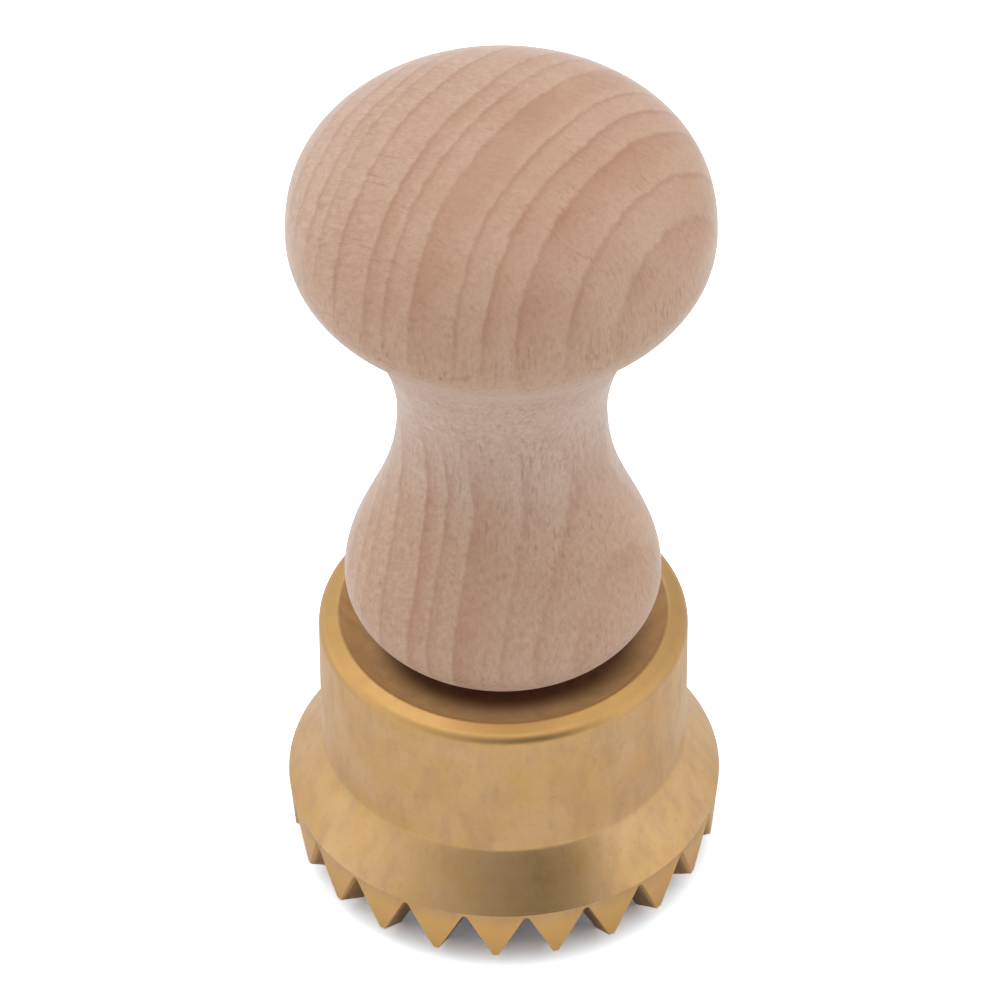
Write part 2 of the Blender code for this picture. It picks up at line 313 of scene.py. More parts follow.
# Noises stretched along the log: scale across the rings, along them and upwards in 1/mm, detail,
# roughness, distortion, and whether they follow the tilt of the rays
GRAINS = {
    "wander": (0.09, 0.09, 0.03, 2.0, 0.5, 0.0, False),
    "ripple": (0.8, 0.8, 0.16, 3.0, 0.6, 0.0, False),
    "ray": (0.28, 2.6, 0.9, 1.0, 0.5, 0.0, True),
    "fleck": (1.3, 3.4, 0.42, 1.5, 0.5, 0.0, False),
    "fine_ray": (0.9, 7.0, 1.3, 2.0, 0.5, 0.0, True),
    "pore": (5.0, 5.0, 0.55, 2.0, 0.6, 0.0, False),
    "mottle": (1.7, 1.7, 1.0, 4.0, 0.7, 0.0, False),
    "curl": (0.45, 0.9, 2.0, 3.0, 0.6, 0.8, True),
    "torn": (2.2, 2.2, 0.26, 3.0, 0.6, 0.6, False),
    "amber": (0.8, 0.8, 1.1, 3.0, 0.6, 1.2, False),
}

# Range of each noise that shows: from and to, and the share at either end
GRAIN_RANGES = {
    "ray": (0.56, 0.74, 0.0, 1.0),
    "fleck": (0.56, 0.70, 0.0, 1.0),
    "fine_ray": (0.50, 0.78, 0.0, 1.0),
    "pore": (0.50, 0.75, 0.0, 1.0),
    "mottle": (0.32, 0.66, 1.0, 0.0),
    "curl": (0.40, 0.62, 1.0, 0.0),
    "torn": (0.57, 0.72, 0.0, 1.0),
    "amber": (0.62, 0.72, 0.0, 1.0),
}

# Even noises of the beech: scale in 1/mm, detail and roughness, and the range that shows
UNEVEN = (0.16, 2.0, 0.5)
UNEVEN_RANGE = (0.3, 0.7, 0.6, 1.1)
BROKEN = (0.22, 2.0, 0.5)
BROKEN_RANGE = (0.42, 0.62, 0.0, 1.0)
PATCHES = (0.075, 3.0, 0.6)
PATCHES_RANGE = (0.35, 0.65, 0.0, 1.0)
ROSY = (0.10, 2.0, 0.5)
ROSY_RANGE = (0.45, 0.70, 0.0, 0.6)
ROSY_OFFSET = (31.0, 7.0, 0.0)

# Surface of the beech
BEECH_ROUGHNESS = (0.3, 0.7, 0.62, 0.50)
BEECH_SPECULAR = 0.35
BEECH_BUMP = (0.35, 0.08)
BUMP_MOTTLE = 0.8
BUMP_PORE = -0.4
BUMP_RAY = -0.3
BUMP_TORN = -0.8
BUMP_CURL = 0.5

# Colours of the brass
BRASS = linear(206, 165, 108)
BRASS_PALE = linear(210, 174, 127)
BRASS_DULL = linear(192, 158, 120)
BRASS_SPECK = linear(168, 128, 84)
BRASS_LIP = linear(211, 166, 101)
# Painted shade: dark laid on the lip towards its left and right sides, where it reflects less light
BRASS_LIP_SHADE = linear(70, 50, 30)
# Painted light: brighter, yellower brass on the teeth, standing in for the bright floor that their faces
# reflect
BRASS_TEETH_PAINTED_LIGHT = linear(226, 180, 108)
# Painted shade: dark brass in the grooves between the teeth and inside the toothed ring, where shade falls
BRASS_GROOVE_SHADE = linear(150, 112, 72)
# Painted shadow in the dish: dark under the bulb, fading to the lighter colour below towards the lip
DISH_PAINTED_SHADOW = linear(122, 86, 60)
DISH_UNSHADOWED = linear(255, 222, 164)
OXIDE_SMEAR = linear(170, 126, 86)

# Noises of the brass: scale in 1/mm, detail and roughness, and the range that shows
CLOUD = (0.16, 4.0, 0.6)
CLOUD_RANGE = (0.35, 0.65, 0.0, 1.0)
SMEAR = (0.45, 5.0, 0.65)
SMEAR_STRETCH = (0.9, 0.9, 0.35)
SMEAR_RANGE = (0.45, 0.72, 0.0, 0.8)
SMEAR_IN_GROOVE = (0.3, 0.6, 0.60, 0.85)
SMEAR_IN_DISH = (0.40, 0.70, 0.0, 0.30)
SPECK = (1.5, 3.0, 0.6)
SPECK_RANGE = (0.58, 0.76, 0.0, 0.28)

# Zones of the die: from and to in mm, and the share at either end
LIP_ZONE = (32.0, 33.4, 0.0, 1.0)
LIP_DEPTH = 0.7
# Painted shade on the lip's left and right sides, by x in mm
LIP_SHADE_LEFT = (-21, -7, 0.20, 0.0)
LIP_SHADE_RIGHT = (8, 20, 0.0, 0.29)
# Painted light on the teeth, fading out above them
TEETH_LIGHT_ZONE = (6.5, 8.5, 0.7, 0.0)
# Painted shade in the grooves: inside the teeth's outer face and below their top
GROOVE_SHADE_RADII = (24.3, 24.9, 1.0, 0.0)
GROOVE_SHADE_HEIGHTS = (9.0, 10.0, 1.0, 0.0)
DISH_RADII = (18.7, 19.7, 1.0, 0.0)
DISH_HEIGHTS = (30.0, 31.0, 0.0, 1.0)
# Painted shadow in the dish: dark near the axis under the bulb and light towards the lip, by distance in mm,
# lighter at the front and darker on the right
DISH_SHADOW_RADII = (12.9, 17.0, 0.0, 1.0)
DISH_SHADOW_FRONT = (-17, -9, 1.1, 0.0)
DISH_SHADOW_RIGHT = (6, 14, 0.0, 1.1)

# Fine lines that the lathe leaves on metal: scale, detail and roughness of their noise
LATHE_LINES = (1.0, 2.0, 0.5)

# Surface of the brass
BRASS_ROUGHNESS = (0.35, 0.70, 0.34, 0.44)
BRASS_LINES = 9.0
BRASS_LINE_ROUGHNESS = (0.3, 0.7, -0.03, 0.03)
BRASS_LINE_BUMP = (0.10, 0.02)
BRASS_SPECK_BUMP = (0.06, 0.05)
OXIDE_METALLIC = -0.55
OXIDE_ROUGHNESS = 0.15

# Steel
STEEL_WASHER = linear(190, 190, 192)
STEEL_SCREW = linear(200, 200, 203)
STEEL_DARK = linear(150, 150, 152)
WASHER_ROUGHNESS = 0.34
SCREW_ROUGHNESS = 0.26
STEEL_CLOUD = (0.6, 3.0, 0.5)
STEEL_LINES = 14.0
STEEL_LINE_RANGE = (0.3, 0.7)
STEEL_SMOOTHER = 0.05
STEEL_ROUGHER = 0.08
STEEL_BUMP = (0.15, 0.02)


def arc(centre, radii, start, end, steps):
    """Points of an elliptic arc, angles from the radial direction towards up."""
    angles = [start + (end - start) * step / steps for step in range(steps + 1)]
    return [(centre[0] + radii[0] * math.cos(a), centre[1] + radii[1] * math.sin(a)) for a in angles]


def line(start, end, steps):
    """Points of a straight run, without its first point."""
    shares = [step / steps for step in range(1, steps + 1)]
    return [(start[0] + (end[0] - start[0]) * s, start[1] + (end[1] - start[1]) * s) for s in shares]


def bezier(p0, p1, p2, p3, steps):
    """Points of a Bezier sweep, without its first point."""
    points = []
    for step in range(1, steps + 1):
        t = step / steps
        weights = ((1 - t) ** 3, 3 * t * (1 - t) ** 2, 3 * t * t * (1 - t), t ** 3)
        points.append(tuple(sum(w * p[axis] for w, p in zip(weights, (p0, p1, p2, p3))) for axis in (0, 1)))
    return points


def add_object(name, data):
    """Add an object that shows a mesh, a lamp or a camera."""
    made = bpy.data.objects.new(name, data)
    bpy.context.scene.collection.objects.link(made)
    return made


def shade(mesh, sharp):
    """Shade a mesh smoothly, but for edges sharper than the given degrees."""
    mesh.shade_smooth()
    mesh.set_sharp_from_angle(angle=math.radians(sharp))


def add_mesh(name, vertices, faces, material, sharp):
    """Add a mesh piece, its normals facing out."""
    mesh = bpy.data.meshes.new(name)
    mesh.from_pydata(vertices, [], faces)
    mesh.validate()
    mesh.materials.append(material)
    piece = add_object(name, mesh)
    solid = bmesh.new()
    solid.from_mesh(mesh)
    bmesh.ops.remove_doubles(solid, verts=solid.verts, dist=WELD_DISTANCE)
    bmesh.ops.recalc_face_normals(solid, faces=solid.faces)
    solid.to_mesh(mesh)
    solid.free()
    shade(mesh, sharp)
    return piece


def grid_faces(columns, rows, closed):
    """Faces between the columns of a grid that goes round the axis, its rows closed or open."""
    faces = []
    for column in range(columns):
        near, far = column * rows, (column + 1) % columns * rows
        for row in range(rows if closed else rows - 1):
            below = (row + 1) % rows
            faces.append((near + row, near + below, far + below, far + row))
    return faces


def lathe(name, profile, closed, columns, material):
    """Turn a profile of (radius, height) points about the Z axis."""
    vertices = []
    for column in range(columns):
        angle = math.tau * column / columns
        cos, sin = math.cos(angle), math.sin(angle)
        vertices += [(radius * cos, radius * sin, height) for radius, height in profile]
    faces = grid_faces(columns, len(profile), closed)
    return add_mesh(name, vertices, faces, material, SHARP_TURNED)


class Tree:
    """Short forms for building the nodes of a material or a world."""

    def __init__(self, owner):
        owner.use_nodes = True
        self.owner = owner
        self.nodes = owner.node_tree.nodes
        self.links = owner.node_tree.links
        self.shader = self.nodes.get("Principled BSDF")

    def put(self, socket, value):
        """Link an output to a socket, or set the socket to a value."""
        if isinstance(value, bpy.types.NodeSocket):
            self.links.new(value, socket)
        else:
            socket.default_value = value

    def set(self, name, value):
        """Set an input of the material's shader."""
        self.put(self.shader.inputs[name], value)

    def node(self, kind, inputs=None, **settings):
        made = self.nodes.new(kind)
        for key, value in settings.items():
            setattr(made, key, value)
        for key, value in (inputs or {}).items():
            self.put(made.inputs[key], value)
        return made

    def math(self, operation, first, second=0.0, third=0.0):
        inputs = dict(enumerate((first, second, third)))
        return self.node("ShaderNodeMath", inputs, operation=operation).outputs[0]

    def times(self, product, *factors):
        """Product of two or more values."""
        for factor in factors:
            product = self.math("MULTIPLY", product, factor)
        return product

    def scaled(self, axes, scales):
        """Vector of the given coordinates, each times its scale."""
        return self.combine(*(self.times(axis, scale) for axis, scale in zip(axes, scales)))

    def vector(self, operation, first, second):
        made = self.node("ShaderNodeVectorMath", {0: first, 1: second}, operation=operation)
        return made.outputs["Value" if operation == "DOT_PRODUCT" else "Vector"]

    def combine(self, x, y, z):
        return self.node("ShaderNodeCombineXYZ", {"X": x, "Y": y, "Z": z}).outputs[0]

    def noise(self, vector, scale, detail, rough, distortion=0.0):
        inputs = {"Vector": vector, "Scale": scale, "Detail": detail}
        inputs.update({"Roughness": rough, "Distortion": distortion})
        return self.node("ShaderNodeTexNoise", inputs).outputs["Fac"]

    def ramp(self, value, stops):
        made = self.node("ShaderNodeValToRGB", {"Fac": value})
        elements = made.color_ramp.elements
        while len(elements) < len(stops):
            elements.new(1.0)
        for element, (position, level) in zip(elements, stops):
            element.position = position
            element.color = (level, level, level, 1.0)
        return made.outputs["Color"]

    def span(self, value, low, high, to_low, to_high, smooth=False):
        """Map a value from one range to another, held at both ends."""
        inputs = {"Value": value, "From Min": low, "From Max": high, "To Min": to_low, "To Max": to_high}
        kind = "SMOOTHSTEP" if smooth else "LINEAR"
        return self.node("ShaderNodeMapRange", inputs, interpolation_type=kind).outputs["Result"]

    def mix(self, factor, first, second):
        """Mix two colours."""
        return self.node("ShaderNodeMix", {0: factor, 6: first, 7: second}, data_type="RGBA").outputs[2]

    def layers(self, colour, coats):
        """Lay coats of (share, colour) over a colour."""
        for share, coat in coats:
            colour = self.mix(share, colour, coat)
        return colour

    def millimetres(self):
        """Object position in millimetres, and its x, y and z."""
        place = self.node("ShaderNodeTexCoord").outputs["Object"]
        scaled = self.vector("MULTIPLY", place, (MM, MM, MM))
        split = self.node("ShaderNodeSeparateXYZ", {"Vector": scaled})
        return scaled, split.outputs["X"], split.outputs["Y"], split.outputs["Z"]

    def radius(self, x, y):
        """Distance from the axis."""
        return self.math("SQRT", self.math("ADD", self.times(x, x), self.times(y, y)))

    def lines(self, radius, z, scale):
        """Fine lines that the lathe leaves, scale in 1/mm."""
        return self.noise(self.combine(self.times(radius, scale), self.times(z, scale), 0.0), *LATHE_LINES)

    def bump(self, height, strength, distance_mm, normal=None):
        inputs = {"Height": height, "Strength": strength, "Distance": distance_mm / MM}
        if normal:
            inputs["Normal"] = normal
        return self.node("ShaderNodeBump", inputs).outputs["Normal"]


def ring_stops(rings, end):
    """Ramp stops for the latewood: dark at once on one side of each ring's edge, then fading to the next."""
    stops = []
    for place, strength, width, _ in rings:
        stops.append((0.5 + (place - RING_SOFT) / RING_SPAN, 0.0))
        stops.append((0.5 + (place + RING_SOFT) / RING_SPAN, strength))
        stops.append((0.5 + (place + width) / RING_SPAN, strength * LATE_REST))
    return stops + [(0.5 + (end - RING_SOFT) / RING_SPAN, 0.0)]


def line_stops(rings):
    """Ramp stops for the thin dark line at each ring's edge."""
    stops = []
    for place, _, _, strength in rings:
        at = 0.5 + (place + RING_SOFT) / RING_SPAN
        stops.append((at - LINE_BEFORE / RING_SPAN, 0.0))
        stops.append((at, strength))
        stops.append((at + LINE_AFTER / RING_SPAN, 0.0))
    return stops


class Beech(Tree):
    """Raw beech: growth rings about a distant pith, rays, fine pores and turned fibres."""

    def __init__(self):
        super().__init__(bpy.data.materials.new("beech"))
        self.place, _, _, self.up = self.millimetres()
        cos, sin = math.cos(RING_AZIMUTH), math.sin(RING_AZIMUTH)
        self.across = self.vector("DOT_PRODUCT", self.place, (sin, -cos, 0))
        self.along = self.vector("DOT_PRODUCT", self.place, (cos, sin, 0))
        self.level = self.math("MULTIPLY_ADD", self.across, RAY_TILT, self.up)
        self.grains = {name: self.grain(*values) for name, values in GRAINS.items()}
        self.shown = {name: self.span(self.grains[name], *values) for name, values in GRAIN_RANGES.items()}
        broken = self.span(self.noise(self.place, *BROKEN), *BROKEN_RANGE)
        self.rays = self.times(broken, self.shown["ray"])
        self.flecks = self.times(broken, self.shown["fleck"])
        self.torn = self.times(self.shown["torn"], self.band(TORN_NECK), self.span(self.across, *TORN_SIDE))
        self.low_ball = self.zone(LOW_BALL)
        self.on_bulb = self.zone(ON_BULB)
        self.set("Base Color", self.colour())
        self.set_surface()

    def grain(self, across, along, up, detail, rough, distortion, tilted):
        """Noise stretched to the log's radial, tangential and upward directions."""
        axes = (self.across, self.along, self.level if tilted else self.up)
        return self.noise(self.scaled(axes, (across, along, up)), 1.0, detail, rough, distortion)

    def zone(self, limits):
        """Share of a zone up the handle, with soft ends."""
        return self.span(self.up, *limits, smooth=True)

    def band(self, limits):
        """Share of a zone up the handle that begins and ends."""
        return self.times(self.zone(limits[0]), self.zone(limits[1]))

    def ring_place(self):
        """Place across the rings, with their lean, their bend and their waviness, for the ramps."""
        wander = self.math("MULTIPLY_ADD", self.grains["wander"], RING_WANDER, -RING_WANDER / 2)
        ripple = self.math("MULTIPLY_ADD", self.grains["ripple"], RING_RIPPLE, -RING_RIPPLE / 2)
        lean = self.math("MULTIPLY_ADD", self.up, RING_LEAN, RING_SHIFT)
        bend = self.times(self.along, self.along, -RING_CURVE)
        place = self.across
        for move in (lean, self.zone(RING_KINK), bend, wander, ripple):
            place = self.math("ADD", place, move)
        return self.math("MULTIPLY_ADD", place, 1 / RING_SPAN, 0.5)

    def ring_coats(self):
        """The dark latewood and the thin line at its edge."""
        place = self.ring_place()
        left, right = GROWTH_RINGS[:LEFT_RINGS], GROWTH_RINGS[LEFT_RINGS:-1]
        late_left = self.ramp(place, ring_stops(left, right[0][0]))
        late_right = self.ramp(place, ring_stops(right, GROWTH_RINGS[-1][0]))
        late = self.math("MAXIMUM", late_left, late_right)
        lines = self.math("MAXIMUM", self.ramp(place, line_stops(left)), self.ramp(place, line_stops(right)))
        clearness = {0: self.on_bulb, 2: self.zone(RINGS_ON_BALL), 3: self.span(self.across, *RINGS_ON_BULB)}
        uneven = self.span(self.noise(self.place, *UNEVEN), *UNEVEN_RANGE)
        clear = self.times(self.node("ShaderNodeMix", clearness).outputs[0], uneven)
        depth = self.math("MULTIPLY_ADD", self.on_bulb, LINE_DEPTH_BULB - LINE_DEPTH_BALL, LINE_DEPTH_BALL)
        return (self.times(late, clear, LATE_DEPTH), LATEWOOD), (self.times(lines, clear, depth), RING_LINE)

    def wood(self):
        """Colour between the rings, with painted sheen on the left, painted light from below on the lower
        ball and bulb, and the neck's paler tone carried up as painted light under the ball.
        """
        patches = self.span(self.noise(self.place, *PATCHES), *PATCHES_RANGE)
        moved = self.vector("ADD", self.place, ROSY_OFFSET)
        coats = (
            (self.span(self.noise(moved, *ROSY), *ROSY_RANGE), WOOD_ROSY),
            # painted sheen, paler towards the left side
            (self.span(self.across, *PAINTED_SHEEN_SIDE, smooth=True), WOOD_PAINTED_SHEEN),
            # painted light from below on the lower ball
            (self.times(self.low_ball, PAINTED_BOUNCE_BALL_DEPTH), WOOD_PAINTED_BOUNCE_BALL),
            # painted light from below on the lower part of the bulb
            (self.zone(PAINTED_BOUNCE_BULB), WOOD_PAINTED_BOUNCE_BULB),
            # paler neck tone, painted light under the ball
            (self.times(self.band(NECK), NECK_AND_PAINTED_LIGHT_DEPTH), WOOD_NECK_AND_PAINTED_LIGHT),
        )
        return self.layers(self.mix(patches, WOOD_TAN, WOOD_LIGHT), coats)

    def figure_coats(self):
        """Mottle, curl, rays and pores, and the neck's torn fibres and amber marks."""
        mottle_depth = self.math("MULTIPLY_ADD", self.low_ball, MOTTLE_MORE, MOTTLE_DEPTH)
        under_ball = self.times(self.low_ball, self.zone(UNDER_BALL))
        fleck_depth = self.math("MULTIPLY_ADD", under_ball, FLECK_MORE, FLECK_DEPTH)
        return (
            (self.times(self.shown["mottle"], mottle_depth), MOTTLE),
            (self.times(self.shown["curl"], self.span(self.across, *CURL_SIDE)), CURL),
            (self.times(self.rays, RAY_DEPTH), RAY),
            (self.times(self.flecks, fleck_depth), FLECK),
            (self.times(self.shown["fine_ray"], self.span(self.across, *FINE_RAY_SIDE)), FINE_RAY),
            (self.times(self.shown["pore"], PORE_DEPTH), PORE),
            (self.times(self.torn, TORN_DEPTH), TORN),
            (self.times(self.shown["amber"], self.band(AMBER_NECK), AMBER_DEPTH), AMBER),
        )

    def colour(self):
        return self.layers(self.wood(), (*self.ring_coats(), *self.figure_coats()))

    def relief(self):
        """Height of the raised and torn fibres."""
        height = self.times(self.grains["mottle"], BUMP_MOTTLE)
        parts = ((self.shown["pore"], BUMP_PORE), (self.rays, BUMP_RAY), (self.torn, BUMP_TORN))
        for part, amount in (*parts, (self.grains["curl"], BUMP_CURL)):
            height = self.math("MULTIPLY_ADD", part, amount, height)
        return height

    def set_surface(self):
        self.set("Roughness", self.span(self.grains["mottle"], *BEECH_ROUGHNESS))
        self.set("Normal", self.bump(self.relief(), *BEECH_BUMP))
        self.set("Specular IOR Level", BEECH_SPECULAR)
        sheen = self.math("MULTIPLY_ADD", self.band(HOLLOW), SHEEN_IN_HOLLOW, self.zone(SHEEN))
        self.set("Sheen Weight", sheen)
        self.set("Sheen Roughness", SHEEN_ROUGHNESS)


class Brass(Tree):
    """Satin turned brass, mottled by handling and dull inside the dish, with painted shade and painted
    light.
    """

    def __init__(self):
        super().__init__(bpy.data.materials.new("brass"))
        self.place, self.x, self.y, self.z = self.millimetres()
        self.out = self.radius(self.x, self.y)
        self.smear = self.noise(self.scaled((self.x, self.y, self.z), SMEAR_STRETCH), *SMEAR)
        self.speck = self.noise(self.place, *SPECK)
        self.inside = self.span(self.out, *DISH_RADII, smooth=True)
        self.inside = self.times(self.inside, self.span(self.z, *DISH_HEIGHTS))
        self.set("Base Color", self.mix(self.inside, self.metal(), self.patina_and_shadow()))
        self.set("Metallic", self.math("MULTIPLY_ADD", self.inside, OXIDE_METALLIC, 1.0))
        self.set_surface()

    def metal(self):
        """Colour of the bare metal: golden lip with painted shade at its sides, painted light on the teeth,
        and painted shade in the grooves between the teeth.
        """
        cloud = self.span(self.noise(self.place, *CLOUD), *CLOUD_RANGE)
        lip = self.span(self.z, *LIP_ZONE, smooth=True)
        # painted shade on the lip's left and right sides
        lip_shade = self.math("ADD", self.span(self.x, *LIP_SHADE_LEFT), self.span(self.x, *LIP_SHADE_RIGHT))
        # painted shade in the grooves between the teeth and inside the toothed ring
        groove = self.times(self.span(self.out, *GROOVE_SHADE_RADII), self.span(self.z, *GROOVE_SHADE_HEIGHTS))
        coats = (
            (self.span(self.smear, *SMEAR_RANGE), BRASS_DULL),
            (self.span(self.speck, *SPECK_RANGE), BRASS_SPECK),
            (self.times(lip, LIP_DEPTH), BRASS_LIP),
            (self.times(lip, lip_shade), BRASS_LIP_SHADE),
            # painted light on the teeth
            (self.span(self.z, *TEETH_LIGHT_ZONE), BRASS_TEETH_PAINTED_LIGHT),
            (self.times(groove, self.span(self.smear, *SMEAR_IN_GROOVE)), BRASS_GROOVE_SHADE),
        )
        return self.layers(self.mix(cloud, BRASS, BRASS_PALE), coats)

    def patina_and_shadow(self):
        """Colour of the dish: painted shadow, darkest in its middle under the bulb and lighter towards the
        front, with smears of patina.
        """
        # painted shadow under the bulb, shifted lighter at the front and darker on the right
        reach = self.math("ADD", self.out, self.span(self.y, *DISH_SHADOW_FRONT))
        reach = self.math("SUBTRACT", reach, self.span(self.x, *DISH_SHADOW_RIGHT))
        plain = self.mix(self.span(reach, *DISH_SHADOW_RADII, smooth=True), DISH_PAINTED_SHADOW, DISH_UNSHADOWED)
        return self.mix(self.span(self.smear, *SMEAR_IN_DISH), plain, OXIDE_SMEAR)

    def set_surface(self):
        lines = self.lines(self.out, self.z, BRASS_LINES)
        smeared = self.span(self.smear, *BRASS_ROUGHNESS)
        rough = self.math("ADD", smeared, self.span(lines, *BRASS_LINE_ROUGHNESS))
        self.set("Roughness", self.math("MULTIPLY_ADD", self.inside, OXIDE_ROUGHNESS, rough))
        fine = self.bump(lines, *BRASS_LINE_BUMP)
        self.set("Normal", self.bump(self.speck, *BRASS_SPECK_BUMP, fine))


def steel(name, colour, roughness):
    """Stainless steel with fine turned lines."""
    t = Tree(bpy.data.materials.new(name))
    place, x, y, z = t.millimetres()
    lines = t.lines(t.radius(x, y), z, STEEL_LINES)
    t.set("Base Color", t.mix(t.noise(place, *STEEL_CLOUD), colour, STEEL_DARK))
    rough = (roughness - STEEL_SMOOTHER, roughness + STEEL_ROUGHER)
    t.set("Roughness", t.span(lines, *STEEL_LINE_RANGE, *rough))
    t.set("Normal", t.bump(lines, *STEEL_BUMP))
    t.set("Metallic", 1.0)
    return t.owner


def groove_height(radius, angle):
    """Height of the V groove's surface at an angle from its middle."""
    half = GROOVE_ANGLE / 2
    half_pitch = TIP_RADIUS * math.sin(math.pi / TOOTH_COUNT)
    apex = TIP_HEIGHT + (half_pitch - TOOTH_LAND / 2) / math.tan(half)
    side = abs(radius * math.sin(angle))
    apex += (radius * math.cos(angle) - TIP_RADIUS) * math.tan(GROOVE_SLOPE)
    touch = GROOVE_ROOT_RADIUS * math.cos(half)
    if side >= touch:
        return apex - side / math.tan(half)
    return apex - GROOVE_ROOT_RADIUS / math.sin(half) + math.sqrt(GROOVE_ROOT_RADIUS ** 2 - side ** 2)


def ridge_height(radius):
    """Height of the ridges' flat tops, which face down, at a radius."""
    return TIP_HEIGHT * (radius - TIP_INNER) / TIP_WALL


def land_angle(radius):
    """Angle from the middle of a groove at which its flank meets the flat of the ridge."""
    low, high = 0.0, math.pi / TOOTH_COUNT
    for _ in range(HALVINGS):
        middle = (low + high) / 2
        if groove_height(radius, middle) > ridge_height(radius):
            low = middle
        else:
            high = middle
    return low


def column_angles(radius):
    """Angles of the mesh columns across half a groove and half a tooth, at a radius."""
    root = math.asin(GROOVE_ROOT_RADIUS * math.cos(GROOVE_ANGLE / 2) / radius)
    land = land_angle(radius)
    half_pitch = math.pi / TOOTH_COUNT
    angles = [root * step / ROOT_COLUMNS for step in range(ROOT_COLUMNS)]
    angles += [root + (land - root) * step / FLANK_COLUMNS for step in range(FLANK_COLUMNS)]
    angles += [land + (half_pitch - land) * step / LAND_COLUMNS for step in range(LAND_COLUMNS)]
    return angles + [half_pitch]


def face_radius(height):
    """Radius of the teeth's outer face at a height."""
    return TIP_RADIUS + (height - TIP_HEIGHT) * RIM_OVERHANG / RIM_HEIGHT


def under_height(radius, angle):
    """Height of the underside of the toothed ring."""
    return max(ridge_height(radius), groove_height(radius, angle))


def dish_rows():
    """Rows from the screw hole over the dish and round the lip's inner edge."""
    rows = [(HOLE_RADIUS + HOLE_BREAK, DISH_FLOOR)]
    rows += line(rows[0], (COLLAR_RADIUS - LIP_WIDTH - DISH_CORNER, DISH_FLOOR), steps=6)
    edge = LIP_INNER_EDGE
    centre_height = LIP_TOP - edge * (math.tan(LIP_SLOPE) + 1 / math.cos(LIP_SLOPE))
    centre = (COLLAR_RADIUS - LIP_WIDTH + edge, centre_height)
    inner = arc(centre, (edge, edge), QUARTER + DISH_WALL, QUARTER - LIP_SLOPE, steps=8)
    floor_pull = (rows[-1][0] + DISH_PULL, DISH_FLOOR)
    pull = (DISH_PULL * math.cos(DISH_WALL), DISH_PULL * math.sin(DISH_WALL))
    wall_pull = (inner[0][0] - pull[0], inner[0][1] - pull[1])
    return rows + bezier(rows[-1], floor_pull, wall_pull, inner[0], steps=18) + inner[1:]


def die_upper():
    """Rows from the screw hole over the dish and lip down to just under the rim."""
    rows = dish_rows()
    centre = (COLLAR_RADIUS - LIP_ROUNDING, WALL_TOP)
    outside = arc(centre, (LIP_ROUNDING, LIP_ROUNDING), QUARTER - LIP_SLOPE, 0.0, steps=12)
    fillet = [(COLLAR_RADIUS + out, CONE_TOP + up) for out, up in CONE_FILLET]
    edge = [(RIM_RADIUS + out, RIM_TOP + up) for out, up in RIM_EDGE]
    rows += line(rows[-1], outside[0], steps=6) + outside[1:]
    rows += line(rows[-1], fillet[0], steps=8) + fillet[1:]
    return rows + line(rows[-1], edge[0], steps=8) + edge[1:]


def die_lower():
    """Rows from the top of the groove inside the teeth round the sealing ring to the screw hole."""
    top = SEAL_HEIGHT + SEAL_GROOVE_DEPTH
    middle = (TIP_INNER + SEAL_OUTER) / 2
    half = SEAL_GROOVE_WIDTH / 2
    edge = SEAL_HEIGHT + SEAL_ROUNDING
    rounding = (SEAL_ROUNDING, SEAL_ROUNDING)
    corner_centre = (CAVITY_RADIUS - CAVITY_CORNER, CAVITY_TOP - CAVITY_CORNER)
    rows = arc((middle, top - half), (half, half), 0, math.pi, steps=10)
    rows += line(rows[-1], (SEAL_OUTER, edge), steps=3)
    rows += arc((SEAL_OUTER - SEAL_ROUNDING, edge), rounding, 0, -QUARTER, steps=6)[1:]
    rows += arc((CAVITY_RADIUS + SEAL_ROUNDING, edge), rounding, -QUARTER, -math.pi, steps=6)
    rows += line(rows[-1], (CAVITY_RADIUS, CAVITY_TOP - CAVITY_CORNER), steps=6)
    rows += arc(corner_centre, (CAVITY_CORNER, CAVITY_CORNER), 0, QUARTER, steps=10)[1:]
    rows += line(rows[-1], (HOLE_RADIUS + HOLE_BREAK, CAVITY_TOP), steps=5)
    rows += [(HOLE_RADIUS, CAVITY_TOP + HOLE_BREAK)]
    return rows + line(rows[-1], (HOLE_RADIUS, DISH_FLOOR - HOLE_BREAK), steps=3)


def face_rows(low, angle):
    """Rows down the teeth's outer face to their broken edge, at one column."""
    end = low + EDGE_BREAK
    heights = [RIM_TOP + (end - RIM_TOP) * share for share in FACE_SHARES] + [end]
    return [(face_radius(height), height, angle) for height in heights]


def under_rows(outer, index):
    """Rows across the underside of the teeth, at one column."""
    rows = []
    run = outer - TIP_INNER
    for share in (EDGE_BREAK / run, *UNDER_SHARES, 1 - EDGE_BREAK / run):
        radius = outer - run * share
        angle = column_angles(radius)[index]
        rows.append((radius, under_height(radius, angle), angle))
    return rows


def wall_rows(crest, angle):
    """Rows up the teeth's inner wall to the crest of the groove beside it, at one column."""
    foot = under_height(TIP_INNER, angle) + EDGE_BREAK
    return [(TIP_INNER, foot + (crest - foot) * share, angle) for share in WALL_SHARES]


def die_section(upper, lower, index):
    """Section of the die at one column: radius, height and angle from the middle of the groove."""
    at_tip = column_angles(TIP_RADIUS)[index]
    at_wall = column_angles(TIP_INNER)[index]
    low = under_height(TIP_RADIUS, at_tip)
    for _ in range(EDGE_PASSES):
        low = under_height(face_radius(low), at_tip)
    section = [(radius, height, at_tip) for radius, height in upper]
    section += face_rows(low, at_tip)
    section += under_rows(face_radius(low), index)
    section += wall_rows(lower[0][1], at_wall)
    return section + [(radius, height, at_wall) for radius, height in lower]


